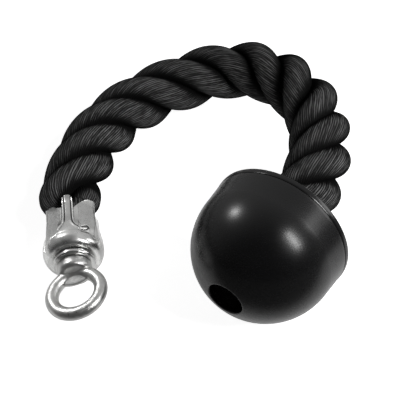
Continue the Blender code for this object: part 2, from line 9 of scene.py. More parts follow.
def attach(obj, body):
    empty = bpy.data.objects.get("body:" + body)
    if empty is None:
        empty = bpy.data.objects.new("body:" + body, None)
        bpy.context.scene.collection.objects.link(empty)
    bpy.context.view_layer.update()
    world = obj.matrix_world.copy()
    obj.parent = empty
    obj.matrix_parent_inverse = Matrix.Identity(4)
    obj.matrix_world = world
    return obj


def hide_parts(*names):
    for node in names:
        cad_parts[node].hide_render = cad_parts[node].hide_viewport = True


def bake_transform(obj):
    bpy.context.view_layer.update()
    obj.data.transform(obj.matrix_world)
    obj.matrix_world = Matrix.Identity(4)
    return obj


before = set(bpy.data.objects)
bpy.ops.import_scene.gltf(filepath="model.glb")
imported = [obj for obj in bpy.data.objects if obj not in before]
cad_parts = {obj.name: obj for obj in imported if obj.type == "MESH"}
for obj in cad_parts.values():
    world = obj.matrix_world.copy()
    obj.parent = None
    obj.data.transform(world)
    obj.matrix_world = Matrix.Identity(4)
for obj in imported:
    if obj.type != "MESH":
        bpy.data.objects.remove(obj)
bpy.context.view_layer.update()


# Camera: a long lens that looks down on the object from the front, at the height and the
# slight roll of the photograph.
CAMERA_PLACE = (0.0040, -0.3089, 0.3561)
CAMERA_TILT = math.radians(46.38)
CAMERA_ROLL = math.radians(2.384)
camera = bpy.data.objects.new("camera", bpy.data.cameras.new("camera"))
camera.data.lens = 88.25
camera.data.sensor_width = 36
camera.data.clip_end = 20
camera.matrix_world = (
    Matrix.Translation(CAMERA_PLACE)
    @ Matrix.Rotation(CAMERA_TILT, 4, "X")
    @ Matrix.Rotation(CAMERA_ROLL, 4, "Z")
)
bpy.context.scene.collection.objects.link(camera)
bpy.context.scene.camera = camera
bpy.context.scene.view_settings.view_transform = "Standard"


# Rope: three strands of black synthetic yarn in a right-hand lay, 32 mm across. Each strand is
# twisted the other way from the lay, so its yarns run along the rope. The ends are gripped in
# the ferrule and screwed into the ball.
ROPE_RADIUS = 0.016
LAY_LENGTH = 0.080
STRAND_RADIUS = 0.0079
STRAND_ORBIT = 0.0081
STRANDS = 3
STRAND_STEPS = 560
STRAND_SIDES = 56
YARNS = 40
# The yarns' look: how far they wander, in yarn widths, how narrow the painted sheen on their
# crowns is, how high their relief is, and their colour by the level of painted sheen and painted
# shade on them.
YARN_WANDER = 1.4
YARN_SHARPNESS = 1.8
YARN_RELIEF = 0.00045
YARN_TONES = ((0.0, 0.0080), (0.16, 0.015), (0.75, 0.175))
# The rope runs from the ferrule's mouth through the route's points to the flat back of the ball.
# Ferrule and ball point away from it.
FERRULE_MOUTH = np.array([-0.0583, 0.0301, 0.0160])
FERRULE_ANGLE = math.radians(9.5)
FERRULE_WAY = np.array([math.sin(FERRULE_ANGLE), -math.cos(FERRULE_ANGLE), 0.0])
BALL_CENTRE = np.array([0.0345, -0.0011, 0.0340])
BALL_WAY = np.array([-0.50990, -0.85877, -0.05010])
BALL_FLAT = 0.0141
ROUTE = np.array([
    (-0.0556, 0.0823, 0.0162), (-0.0367, 0.1191, 0.0166), (-0.0066, 0.1405, 0.0207),
    (0.0251, 0.1444, 0.0273), (0.0488, 0.1271, 0.0323), (0.0623, 0.0981, 0.0340),
    (0.0630, 0.0653, 0.0343), (0.0545, 0.0349, 0.0347),
])
HOOP_MIDDLE = np.array([0.0, 0.060, 0.025])
# How far the rope's ends run inside the ferrule and the ball, and where the lay starts.
END_INSIDE = 0.008
LAY_START = 0.0098
LAY_PHASE = -0.329
# Where the lay is uneven near the ball: how far it lags or leads in radians, at which distance
# from the ferrule's mouth and over what length.
LAY_UNEVEN = ((-0.19, 0.229, 0.016), (0.07, 0.283, 0.015))
# Beside the mouth the squeezed rope swells sideways and leans over: how much, at which distance
# from the mouth and over what length.
SWELL_WIDER, SWELL_AT, SWELL_LENGTH = 0.070, 0.0085, 0.0055
SWELL_SHIFT, SHIFT_AT, SHIFT_LENGTH = -0.0021, 0.0145, 0.0078
# The rope's width where the ferrule squeezes it: distances from the mouth and shares of its radius.
SQUEEZE_AT = (-0.008, 0.0, 0.0042, 0.0056, 0.0073, 0.0097, 0.0130, 0.020)
SQUEEZE_SHARE = (0.69, 0.70, 0.735, 0.81, 0.90, 0.96, 0.99, 1.0)
# Painted shade of the grooves: the height out of them, as a share of the rope's radius, under
# which a strand's colour is fully shaded, and how much higher it is on the inside of the hoop.
GROOVE_SHADE_BOTTOM, GROOVE_SHADE_INSIDE = 0.735, 0.065


def bell(value, width):
    """A bump of height 1 at zero: exp(-(value / width)^2)."""
    return np.exp(-((value / width) ** 2))


def ease(low, high, value):
    """Smooth rise from 0 at low to 1 at high: 3u^2 - 2u^3."""
    u = np.clip((value - low) / (high - low), 0, 1)
    return u * u * (3 - 2 * u)


def unit(vectors):
    """The vectors over their lengths."""
    return vectors / np.linalg.norm(vectors, axis=-1, keepdims=True)


def clamped_cubic(points, start_way, end_way, samples):
    """Points of a cubic spline through the given ones: slopes at the inner points solve the
    equations of equal curvature, and both end slopes are the given unit directions."""
    spans = np.linalg.norm(np.diff(points, axis=0), axis=1)
    knots = np.concatenate([[0], np.cumsum(spans)])
    rises = np.diff(points, axis=0) / spans[:, None]
    before, after = spans[:-1], spans[1:]
    inner = np.arange(1, len(points) - 1)
    matrix = np.eye(len(points))
    matrix[inner, inner - 1] = after
    matrix[inner, inner] = 2 * (before + after)
    matrix[inner, inner + 1] = before
    right = np.vstack([
        start_way,
        3 * (after[:, None] * rises[:-1] + before[:, None] * rises[1:]),
        end_way,
    ])
    slopes = np.linalg.solve(matrix, right)
    at = np.linspace(0, knots[-1], samples)
    span = np.clip(np.searchsorted(knots, at, side="right") - 1, 0, len(spans) - 1)
    width = spans[span][:, None]
    u = (at - knots[span])[:, None] / width
    return (
        (1 + 2 * u) * (1 - u) ** 2 * points[span]
        + u * (1 - u) ** 2 * width * slopes[span]
        + u**2 * (3 - 2 * u) * points[span + 1]
        + u**2 * (u - 1) * width * slopes[span + 1]
    )


def rope_line(samples):
    """Evenly spaced points of the rope's middle line, the direction at each and its distance
    from the ferrule's mouth: the spline, with a short straight run inside both ends."""
    ball_back = BALL_CENTRE - BALL_FLAT * BALL_WAY
    route = np.vstack([FERRULE_MOUTH, ROUTE, ball_back])
    bend = clamped_cubic(route, -FERRULE_WAY, BALL_WAY, 3000)
    first, last = FERRULE_MOUTH + END_INSIDE * FERRULE_WAY, ball_back + END_INSIDE * BALL_WAY
    raw = np.vstack([first, bend, last])
    along = np.concatenate([[0], np.cumsum(np.linalg.norm(np.diff(raw, axis=0), axis=1))])
    even = np.linspace(0, along[-1], samples)
    points = np.stack([np.interp(even, along, raw[:, k]) for k in range(3)], axis=1)
    return points, unit(np.gradient(points, axis=0)), even - END_INSIDE


def rope_frames(ways, places):
    """Side directions that don't turn about the line: the upright across the line, turned back
    by the sum of the angles that the upright itself makes about the line."""
    up = unit(np.array([0.0, 0.0, 1.0]) - ways * ways[:, 2:])
    left = np.cross(ways, up)
    rate = (np.gradient(up, places, axis=0) * left).sum(axis=1)
    steps = (rate[1:] + rate[:-1]) / 2 * np.diff(places)
    turn = -np.concatenate([[0], np.cumsum(steps)])
    return up, left, turn


def grid_faces(rows, columns, closed_rows=False, closed_columns=True):
    """Quads of a grid whose point (i, j) has the number i * columns + j."""
    i = np.arange(rows if closed_rows else rows - 1)
    j = np.arange(columns if closed_columns else columns - 1)
    i, j = (a.ravel() for a in np.meshgrid(i, j, indexing="ij"))
    next_i, next_j = (i + 1) % rows, (j + 1) % columns
    return np.stack([
        i * columns + j, i * columns + next_j, next_i * columns + next_j, next_i * columns + j,
    ], axis=1)


def new_object(name, data):
    """An object of a mesh or a light, linked to the scene."""
    item = bpy.data.objects.new(name, data)
    bpy.context.scene.collection.objects.link(item)
    return item


def grid_piece(name, points, faces, material, caps=()):
    """A smooth mesh object from an array of points, quads by point number and end caps."""
    mesh = bpy.data.meshes.new(name)
    mesh.from_pydata(points.reshape(-1, 3), [], [*faces.tolist(), *caps])
    mesh.shade_smooth()
    mesh.materials.append(material)
    return new_object(name, mesh)


def outward(points, faces):
    """The faces, turned over if the closed surface that they make has a negative volume."""
    a, b, c, d = (points.reshape(-1, 3)[faces[:, k]] for k in range(4))
    volume = (a * np.cross(b, c)).sum() + (a * np.cross(c, d)).sum()
    return faces if volume > 0 else faces[:, ::-1]


def end_caps(first):
    """The two end rings, as faces, of the strand whose points are numbered from the first."""
    near = list(range(first, first + STRAND_SIDES))
    far = [point + (STRAND_STEPS - 1) * STRAND_SIDES for point in near]
    return near[::-1], far


def strand_points(k, line):
    """Strand k of the rope: its middle goes round the rope's line once a lay, and its section is
    a circle square to its own direction. Grid of (place along, angle round the strand)."""
    points, ways, places, up, left, turn = line
    share = np.interp(places, SQUEEZE_AT, SQUEEZE_SHARE)[:, None]
    uneven = sum(amount * bell(places - at, length) for amount, at, length in LAY_UNEVEN)
    laps = (places + LAY_START) / LAY_LENGTH + k / STRANDS
    angle = LAY_PHASE + 2 * np.pi * laps + turn + uneven
    out = np.cos(angle)[:, None] * up + np.sin(angle)[:, None] * left
    middle = points + STRAND_ORBIT * share * out
    strand_way = unit(np.gradient(middle, axis=0))
    out = unit(out - strand_way * (out * strand_way).sum(axis=1)[:, None])
    side = np.cross(strand_way, out)
    round_angle = np.pi + 2 * np.pi * np.arange(STRAND_SIDES) / STRAND_SIDES
    ring = (
        np.cos(round_angle)[None, :, None] * out[:, None, :]
        + np.sin(round_angle)[None, :, None] * side[:, None, :]
    )
    surface = middle[:, None, :] + STRAND_RADIUS * share[:, :, None] * ring
    reach = surface - points[:, None, :]
    sideways = np.cross([0.0, 0.0, 1.0], FERRULE_WAY)
    swell = SWELL_WIDER * bell(places - SWELL_AT, SWELL_LENGTH)
    shift = SWELL_SHIFT * bell(places - SHIFT_AT, SHIFT_LENGTH)
    across = swell[:, None] * (reach * sideways).sum(axis=2) + shift[:, None]
    return surface + across[:, :, None] * sideways


def yarn_map(piece, places, quad_count):
    """UV map of the strands. Across, it counts the yarns, which run along the rope because the
    count grows by the angle that the lay turns; along, it is the place in yarn widths. Quads
    that close a strand's round count on past its last yarn; the end caps have no need to."""
    mesh = piece.data
    corner = np.empty(len(mesh.loops), dtype=np.int64)
    mesh.loops.foreach_get("vertex_index", corner)
    row = corner // STRAND_SIDES % STRAND_STEPS
    column = corner % STRAND_SIDES
    share = column / STRAND_SIDES
    quads = column[: 4 * quad_count].reshape(-1, 4)
    closing = (quads.max(axis=1) - quads.min(axis=1) > 1)[:, None] & (quads == 0)
    share[: 4 * quad_count] += closing.ravel()
    turn_length = LAY_LENGTH * STRAND_RADIUS / ROPE_RADIUS
    count = YARNS * (share + places[row] / turn_length)
    yarn_width = 2 * np.pi * STRAND_RADIUS / YARNS
    values = np.stack([count, places[row] / yarn_width], axis=1)
    layer = mesh.uv_layers.new(name="yarns")
    layer.data.foreach_set("uv", values.ravel())


def value_attribute(piece, name, values):
    """Stores one number a point on a piece, for its material."""
    layer = piece.data.attributes.new(name, "FLOAT", "POINT")
    layer.data.foreach_set("value", np.ascontiguousarray(values, dtype=np.float32).ravel())


def groove_shade_values(strands, line):
    """Painted shade of the grooves, for the yarn's colour: how far out of the grooves each point of
    the strands lies, a smooth rise with its distance from the rope's line, from 0 deep between two
    strands to 1 on a strand's crown. The painted shade is wider on the inside of the hoop: by the
    cosine of the angle to its middle."""
    points, share = line[0], np.interp(line[2], SQUEEZE_AT, SQUEEZE_SHARE)
    reach = strands - points[None, :, None, :]
    distance = np.linalg.norm(reach, axis=3)
    inward = unit(HOOP_MIDDLE - points)
    inside = (reach * inward[None, :, None, :]).sum(axis=3) / distance
    low = GROOVE_SHADE_BOTTOM + GROOVE_SHADE_INSIDE * inside
    height = distance / (ROPE_RADIUS * share[None, :, None])
    return ease(0, 1, (height - low) / (1 - low))


def new_material(name):
    """An empty material with its tree and its Principled shader, wired to the output."""
    material = bpy.data.materials.new(name)
    material.use_nodes = True
    return material, material.node_tree, material.node_tree.nodes["Principled BSDF"]


def plug(tree, node, inputs):
    """Sets a node's inputs, by name or number, to values or to other nodes' outputs."""
    for key, value in dict(inputs).items():
        if isinstance(value, bpy.types.NodeSocket):
            tree.links.new(value, node.inputs[key])
        else:
            node.inputs[key].default_value = value


def new_node(tree, kind, inputs=(), **settings):
    """A node with its settings and its inputs."""
    node = tree.nodes.new(kind)
    for name, value in settings.items():
        setattr(node, name, value)
    plug(tree, node, inputs)
    return node


def maths(tree, operation, *values):
    """The result of a Math node over numbers or outputs."""
    return new_node(tree, "ShaderNodeMath", enumerate(values), operation=operation).outputs[0]


def chain(tree, operation, total, *values):
    """Numbers or outputs taken together one after another: a sum or a product."""
    for value in values:
        total = maths(tree, operation, total, value)
    return total


def ramp(tree, value, stops):
    """The colour of a ramp over a value: stops are (place, grey or colour)."""
    node = new_node(tree, "ShaderNodeValToRGB", {0: value})
    elements = node.color_ramp.elements
    for number, (place, colour) in enumerate(stops):
        element = elements[number] if number < 2 else elements.new(place)
        element.position = place
        grey = isinstance(colour, (int, float))
        element.color = (colour, colour, colour, 1) if grey else (*colour, 1)
    return node.outputs["Color"]


def noise(tree, vector, scale=1.0, detail=2, roughness=0.5):
    """A noise texture read at a vector."""
    inputs = {"Scale": scale, "Detail": detail, "Roughness": roughness, "Vector": vector}
    return new_node(tree, "ShaderNodeTexNoise", inputs).outputs["Fac"]


def stretched(tree, vector, scale):
    """The vector times a scale on each axis."""
    return new_node(tree, "ShaderNodeMapping", {"Scale": scale, "Vector": vector}).outputs[0]


def bump(tree, height, inputs):
    """The normal of a surface with a height on it."""
    return new_node(tree, "ShaderNodeBump", {"Height": height, **inputs}).outputs["Normal"]


def point_value(tree, name):
    """The number that a piece's points carry under a name."""
    return new_node(tree, "ShaderNodeAttribute", attribute_name=name).outputs["Fac"]


def yarn_material():
    """Black yarn: round yarns side by side, each with its own tone. A painted sheen brightens the
    colour on the yarns' crowns in short strokes where the fibres lie open, and painted shade
    darkens it in the grooves and towards the outline."""
    material, tree, shader = new_material("rope_yarn")
    uv = new_node(tree, "ShaderNodeUVMap", uv_map="yarns").outputs["UV"]
    parts = new_node(tree, "ShaderNodeSeparateXYZ", {0: uv}).outputs
    wobble = noise(tree, stretched(tree, uv, (0.35, 0.10, 1)))
    shift = maths(tree, "MULTIPLY_ADD", wobble, YARN_WANDER, -YARN_WANDER / 2)
    count = maths(tree, "ADD", parts[0], shift)
    centred = maths(tree, "MULTIPLY_ADD", maths(tree, "FRACT", count), 2.0, -1.0)
    ridge = maths(tree, "SUBTRACT", 1.0, maths(tree, "MULTIPLY", centred, centred))
    # Painted sheen: the colour is brightest on each yarn's crown.
    crown = maths(tree, "POWER", ridge, YARN_SHARPNESS)
    lap = maths(tree, "FLOORED_MODULO", maths(tree, "FLOOR", count), float(YARNS))
    tone = new_node(tree, "ShaderNodeTexWhiteNoise", {"W": lap}, noise_dimensions="1D")
    fibres = noise(tree, stretched(tree, uv, (5.0, 0.55, 1)), 1.0, 2, 0.6)
    strokes = noise(tree, stretched(tree, uv, (1.3, 0.26, 1)), 1.0, 2, 0.55)
    open_fibres = ramp(tree, strokes, [(0.34, 0.22), (0.62, 1.0)])
    spread = maths(tree, "MULTIPLY_ADD", tone.outputs["Value"], 0.7, 0.5)
    # Painted shade: the colour darkens deep in the grooves between strands.
    groove_shade = point_value(tree, "groove_shade")
    facing = new_node(tree, "ShaderNodeLayerWeight", {"Blend": 0.5}).outputs["Facing"]
    # Painted shade: the colour darkens towards the outline.
    inside = ramp(tree, facing, [(0.55, 1.0), (1.0, 0.35)])
    matt = ramp(tree, facing, [(0.20, 0.15), (0.70, 0.0)])
    groove_and_outline_shade = maths(tree, "MULTIPLY", groove_shade, inside)
    # The colour's level: painted sheen on the crowns in strokes, each yarn's own tone, and painted
    # shade.
    yarn_tone_and_painted_light = chain(tree, "MULTIPLY", crown, open_fibres, spread, groove_and_outline_shade)
    height = maths(tree, "MULTIPLY_ADD", fibres, 0.5, ridge)
    plug(tree, shader, {
        "Base Color": ramp(tree, yarn_tone_and_painted_light, YARN_TONES),
        "Normal": bump(tree, height, {"Strength": 0.9, "Distance": YARN_RELIEF}),
        "Specular IOR Level": maths(tree, "MULTIPLY", groove_and_outline_shade, matt),
        "Roughness": maths(tree, "MULTIPLY_ADD", strokes, -0.30, 0.66),
    })
    return material


rope_points, rope_ways, rope_places = rope_line(STRAND_STEPS)
rope_up, rope_left, rope_turn = rope_frames(rope_ways, rope_places)
rope_turn = rope_turn - np.interp(-LAY_START, rope_places, rope_turn)
line = (rope_points, rope_ways, rope_places, rope_up, rope_left, rope_turn)
strands = np.stack([strand_points(k, line) for k in range(STRANDS)])
strand_size = STRAND_STEPS * STRAND_SIDES
strand_quads = grid_faces(STRAND_STEPS, STRAND_SIDES)
quads = np.concatenate([strand_quads + k * strand_size for k in range(STRANDS)])
caps = [cap for k in range(STRANDS) for cap in end_caps(k * strand_size)]
rope = grid_piece("laid_rope", strands, quads, yarn_material(), caps)
yarn_map(rope, rope_places, len(quads))
# The strands' points carry the painted shade of the grooves.
value_attribute(rope, "groove_shade", groove_shade_values(strands, line))
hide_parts("rope_ferrule_side", "rope_crown", "rope_ball_side")
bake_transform(rope)


# Ferrule: a cup pressed from one sheet of steel and zinc plated, squeezed on the rope's end.
# Each of its two long tongues has a plate on either side: a slit with a hooked end parts one
# from it, a short slit with a fold the other. The strips between the plates are shorter.
WALL = 0.0014
EDGE_WALL = 0.0009
EDGE_ROUNDING = 0.00022
EDGE_STEP = 0.0004
EDGE_THINNING = (0, 0.004)
SKIRT_RADIUS = 0.0128
SKIRT_STRAIGHT = 0.007
BULGE_RADIUS = 0.0145
BULGE_PLACE = 0.0215
CUP_LENGTH = 0.0276
CUP_END_RADIUS = 0.0112
SHANK_HOLE = 0.0046
CUP_COLUMNS = 480
DOME_ROWS = 30
TONGUE_TURN = math.radians(97)
# From here on an angle is in degrees from the middle of the nearest tongue, a place in metres
# along the axis from the mouth, and a span is where a soft change starts and ends. What comes
# twice is for the hooked side and for the fold side.
MOUTH_AT = (
    0, 5, 8.5, 10.2, 11, 11.8, 12.4, 14, 16.5, 22, 27, 34, 41, 49, 56, 60, 62.5, 64, 64.8, 65.8, 90,
)
MOUTH = np.array((
    (-3.9, -3.7, -3.1, -2.2, -0.8, 3.8, 4.6, 3.7, 3.0, 1.5, 0.2, -1.4, -2.7, -3.8, -4.6, -4.7, -4.2,
     -2.8, 0.8, 4.6, 4.9),
    (-3.9, -3.7, -3.1, -2.2, -0.8, 2.2, 2.8, 2.5, 2.3, 1.8, 0.9, -0.4, -1.7, -2.9, -4.2, -4.6, -4.2,
     -2.8, 0.8, 4.6, 4.9),
)) / 1000
# The edge past the mouth is flared: height, what is lost beside the tongues, length and power.
FLARE, FLARE_LOSS, FLARE_LOSS_AT = 0.00095, 0.00035, (10, 30)
FLARE_LENGTH, FLARE_POWER = 0.0036, 1.3
# How densely the rows lie between the mouth and the bulge: most of them where the hooks are.
ROW_SHARES = np.interp(np.linspace(0, 1, 136), (0, 0.30, 0.93, 1), (0, 0.49, 0.955, 1))
# The slit's middle line, down beside the tongue and round the hook, and the wider line from
# there back to its open end. On the fold side it is the line of a short slit and of the fold
# that runs on from it, down across the plate to the bulge.
SLIT = np.array([
    (7.4, -0.0060), (7.3, 0.0), (7.2, 0.0105), (7.8, 0.0130), (9.4, 0.0151), (13.0, 0.0170),
    (18.0, 0.0182), (25.0, 0.0189), (33.0, 0.0188), (39.5, 0.0181), (44.5, 0.0167),
])
HOOK_END = np.array([
    (28.0, 0.0172), (34.0, 0.0163), (39.5, 0.0157), (42.5, 0.0160), (44.5, 0.0167),
])
FOLD = np.array([
    (7.4, -0.0060), (7.3, 0.0), (7.2, 0.0105), (8.4, 0.0139), (12.3, 0.0163), (18.5, 0.0187),
    (26.0, 0.0203), (34.0, 0.0212), (42.0, 0.0222), (47.0, 0.0240),
])
FOLD_END = (40, 47)
# The radius at which angles are unrolled to lengths, half widths of the slit and of the hook's
# end by angle, the slit's depth, and how much paler the fold's dark line is where it runs on past
# the slit as a line of painted shade.
SHEET_RADIUS = 0.0132
SLIT_WIDTH, SLIT_DEPTH = 0.00030, 0.00028
HOOK_WIDTH_AT, HOOK_WIDTH = (27, 39, 44.5), (0.00026, 0.00055, 0.00045)
FOLD_PALER, FOLD_PALER_AT = 0.60, (0.0118, 0.0142)
# Lips beside the slit, on the plate's side and on the bulge's, and beside the fold: distance
# from the middle line, height, half width, and half width of the painted highlight on it.
PLATE_LIP, PLATE_LIP_END = (0.00066, 0.00030, 0.00038, 0.00034), (0.011, 0.0135)
BULGE_LIP, BULGE_LIP_START = (0.00078, 0.00020, 0.00045, 0.00036), (0.0125, 0.015)
BULGE_LIP_END, BULGE_LIP_LOSS, BULGE_LIP_LOSS_AT = (40, 48), 0.7, (20, 28)
FOLD_LIP = (0.00058, 0.00028, 0.00036, 0.00034)
FOLD_DIP, FOLD_DIP_WIDTH, FOLD_DIP_START = 0.00030, 0.00045, (0.011, 0.014)
# The flat plates: distance from the axis at the mouth, angle of their middle, and how much
# further out they lie a plate's length on.
PLATE_REACH, PLATE_TURN = (0.0121, 0.0117), (38, 41)
PLATE_RISE, PLATE_LENGTH = 0.0010, 0.0195
# Their edges: towards the tongue, towards the strip, and towards the bulge, as a place and a
# length that both grow in the far corner.
PLATE_START = ((19, 25), (22.4, 24.4))
PLATE_END, PLATE_LIMIT = (64.2, 66.4), 66
PLATE_TOP, PLATE_TOP_SOFT = 0.0192, 0.0030
CORNER_AT, CORNER_TOP, CORNER_SOFT = (40, 60), 0.0015, 0.0010
# Painted shade along the edges of plates and recesses, as dark lines: how dark, half width,
# angle, how far the first leans in on the hooked side, and where they end.
EDGE_SHADE, EDGE_WIDTH, EDGE_TURN = 0.39, 1.6, (62.6, 60.2)
EDGE_LEAN, EDGE_LEAN_AT = (6.5, 0), (0.010, 0.019)
EDGE_END = ((0.0215, 0.0250), (0.011, 0.018))
RIM_SHADE, RIM_WIDTH, RIM_TURN, RIM_END = 0.38, 1.2, (23.6, 15.5), (0.0105, 0.0135)
# The recess beside a tongue is even, or flat on the fold side: its depth, or its distance from
# the axis and the angle of its middle, and the spans of its sides and of its end.
RECESS_DEPTH, RECESS_SIDES, RECESS_END = 0.00028, ((12.2, 13.2), (22.2, 24.4)), (0.0125, 0.0165)
FLAT_REACH, FLAT_TURN = 0.01205, 30
FLAT_SIDES, FLAT_END = ((11.6, 12.8), (22.4, 23.4)), (0.011, 0.0165)
# A furrow parts plate and strip. The strips are raised, and lower on the left of the cup.
FURROW, FURROW_TURN, FURROW_WIDTH = 0.00070, 65.2, 1.2
FURROW_ENDS = ((0.003, 0.006), (0.0235, 0.0258))
STRIP_RISE, STRIP_LOWER, STRIP_LOWER_AT = 0.00015, 0.00080, (0, 0.4)
STRIP_START, STRIP_END = (64.5, 67.0), (0.012, 0.020)
# The bulge is pressed in above the hooked plates, with a crease under it and a ridge on it.
PRESSED, PRESSED_SIDES = 0.0005, ((15, 28), (52, 66))
PRESSED_ENDS = ((0.016, 0.0205), (0.0225, 0.0265))
CREASE_DEPTH, CREASE_PLACE = (0.00010, 0.00004), (0.0204, 0.0214)
CREASE_WIDTH, CREASE_SIDE = 0.00045, (50, 64)
RIDGE, RIDGE_PLACE, RIDGE_WIDTH, RIDGE_SIDE = 0.00013, 0.0237, 0.0012, ((5, 15), (30, 45))
# Painted light in the metal's tone, from 0 to 1: a plain level, lower on the tongues, with
# painted shade on the fold side's plates and a painted reflection that brightens the strips, less
# so on the bulge.
PLAIN_LIGHT_LEVEL = 0.44
TONGUE_LIGHT_LEVEL, TONGUE_SIDE, TONGUE_END = 0.20, (6, 8), (0.010, 0.016)
SHADED_PLATE_SIDES, SHADED_PLATE_END = ((11, 13), (60, 62)), (0.015, 0.020)
BRIGHT_SIDE, BRIGHT_LOSS, BRIGHT_LOSS_AT = (62.5, 66), 0.4, (0.019, 0.023)


def axis_points(origin, way, r, angle, z):
    """Points from radius, angle and place on an axis: the angle goes from the level direction
    across the axis to the one that points up."""
    side = unit(np.cross([0.0, 0.0, 1.0], way))
    return (
        origin
        + (r * np.cos(angle))[..., None] * side
        + (r * np.sin(angle))[..., None] * np.cross(way, side)
        + (z + 0 * angle)[..., None] * way
    )


def to_ferrule(r, angle, z):
    """Points in the ferrule's frame, Z from its mouth towards the eye."""
    return axis_points(FERRULE_MOUTH, FERRULE_WAY, r, angle, z)


def line_distance(path, width, z):
    """Distance from points of the sheet to a line on it, both unrolled to lengths, and on which
    side of it they lie: the least distance to its spans, with the sign of the cross product at
    the nearest span, which is negative towards larger angles of a line that runs to the bulge."""
    path = np.stack([np.radians(path[:, 0]) * SHEET_RADIUS, path[:, 1]], axis=1)
    start, step = path[:-1], np.diff(path, axis=0)
    px = (np.radians(width) * SHEET_RADIUS)[..., None] - start[:, 0]
    py = z[..., None] - start[:, 1]
    share = np.clip((px * step[:, 0] + py * step[:, 1]) / (step**2).sum(axis=1), 0, 1)
    gap = np.hypot(px - share * step[:, 0], py - share * step[:, 1])
    nearest = gap.argmin(axis=-1)[..., None]
    turn = np.take_along_axis(step[:, 0] * py - step[:, 1] * px, nearest, axis=-1)[..., 0]
    return np.take_along_axis(gap, nearest, axis=-1)[..., 0], np.sign(turn)


def fade(span, value):
    """Smooth fall from 1 to 0 over a span."""
    return 1 - ease(*span, value)


def within(spans, value):
    """1 between two spans and 0 outside them, with a smooth change over each."""
    return ease(*spans[0], value) * fade(spans[1], value)


def pick(folded, pair):
    """The first of a pair on the hooked side of a tongue, the second on its fold side."""
    return np.where(folded, pair[1], pair[0])


def flare(width, z):
    """How far the edge past the mouth is bent out: a power of the distance past it."""
    height = FLARE - FLARE_LOSS * ease(*FLARE_LOSS_AT, width)
    return height * np.clip(-z / FLARE_LENGTH, 0, 1) ** FLARE_POWER


def skirt_circle(z):
    """Radius of the round skirt, which swells from its straight part to the bulge."""
    return SKIRT_RADIUS + (BULGE_RADIUS - SKIRT_RADIUS) * ease(SKIRT_STRAIGHT, BULGE_PLACE, z)


def plate_shift(width, z, circle, folded):
    """How far the flat plates lie from the round cup: their distance from the axis over the
    cosine of the angle from their middle, less the circle's radius, faded at their edges."""
    middle = pick(folded, PLATE_TURN)
    reach = pick(folded, PLATE_REACH) + PLATE_RISE * z / PLATE_LENGTH
    flat = reach / np.cos(np.radians(np.clip(width, 0, PLATE_LIMIT) - middle))
    corner = ease(*CORNER_AT, width)
    past = (z - PLATE_TOP - CORNER_TOP * corner) / (PLATE_TOP_SOFT + CORNER_SOFT * corner)
    start = pick(folded, [ease(*span, width) for span in PLATE_START])
    return fade((0, 1), past) * start * fade(PLATE_END, width) * (flat - circle)


def cup_lines(width, z, folded):
    """What follows the slits and folds: how black the sheet is, from 0 to 1 in the middle of a
    slit, with painted shade along the fold past the slit and along the edges of plates and
    recesses; the height of the lips beside them, with the fold's own dip; and the painted highlight
    on the lips."""
    slit, side = line_distance(SLIT, width, z)
    hook_end, _ = line_distance(HOOK_END, width, z)
    fold, fold_side = line_distance(FOLD, width, z)
    fold_shown = fade(FOLD_END, width)
    hook_width = np.interp(width, HOOK_WIDTH_AT, HOOK_WIDTH)
    hooked = np.maximum(bell(slit, SLIT_WIDTH), bell(hook_end, hook_width))
    paler = 1 - FOLD_PALER * ease(*FOLD_PALER_AT, z)
    # Black in the slits; past the fold side's slit, painted shade along the fold.
    cut = pick(folded, (hooked, bell(fold, SLIT_WIDTH) * paler * fold_shown))
    # Painted shade: dark lines along the edges of plates and recesses.
    edge = pick(folded, EDGE_TURN) - pick(folded, EDGE_LEAN) * ease(*EDGE_LEAN_AT, z)
    length = pick(folded, [fade(span, z) for span in EDGE_END])
    cut = np.maximum(cut, EDGE_SHADE * bell(width - edge, EDGE_WIDTH) * length)
    rim = bell(width - pick(folded, RIM_TURN), RIM_WIDTH)
    cut = np.maximum(cut, RIM_SHADE * rim * fade(RIM_END, z))
    on_plate = (side < 0) * fade(PLATE_LIP_END, z) * ~folded
    on_bulge = (side > 0) * ease(*BULGE_LIP_START, z) * fade(BULGE_LIP_END, width) * ~folded
    on_fold = (fold_side < 0) * fold_shown * folded
    lower = 1 - BULGE_LIP_LOSS * ease(*BULGE_LIP_LOSS_AT, width)
    lips = -FOLD_DIP * bell(fold, FOLD_DIP_WIDTH) * ease(*FOLD_DIP_START, z) * fold_shown * folded
    painted_light = 0
    for gap, (place, rise, half, bright_half), shown, share in (
        (slit, PLATE_LIP, on_plate, 1),
        (slit, BULGE_LIP, on_bulge, lower),
        (fold, FOLD_LIP, on_fold, 1),
    ):
        lips = lips + rise * bell(gap - place, half) * shown * share
        # Painted highlight along each lip.
        painted_light = painted_light + bell(gap - place, bright_half) * shown
    return cut, lips, painted_light


def cup_painted_light(width, z, folded, lip):
    """Painted light in the metal's tone: the plain value, lower on tongues, with painted shade on
    the fold side's plates, a painted reflection on the strips and a painted highlight on the lips."""
    tongue = fade(TONGUE_SIDE, width) * fade(TONGUE_END, z)
    painted_light = PLAIN_LIGHT_LEVEL + (TONGUE_LIGHT_LEVEL - PLAIN_LIGHT_LEVEL) * tongue
    painted_light = painted_light * (1 - folded * within(SHADED_PLATE_SIDES, width) * fade(SHADED_PLATE_END, z))
    strip = ease(*BRIGHT_SIDE, width) * (1 - BRIGHT_LOSS * ease(*BRIGHT_LOSS_AT, z))
    painted_light = painted_light + (1 - painted_light) * strip
    return painted_light + (1 - painted_light) * lip


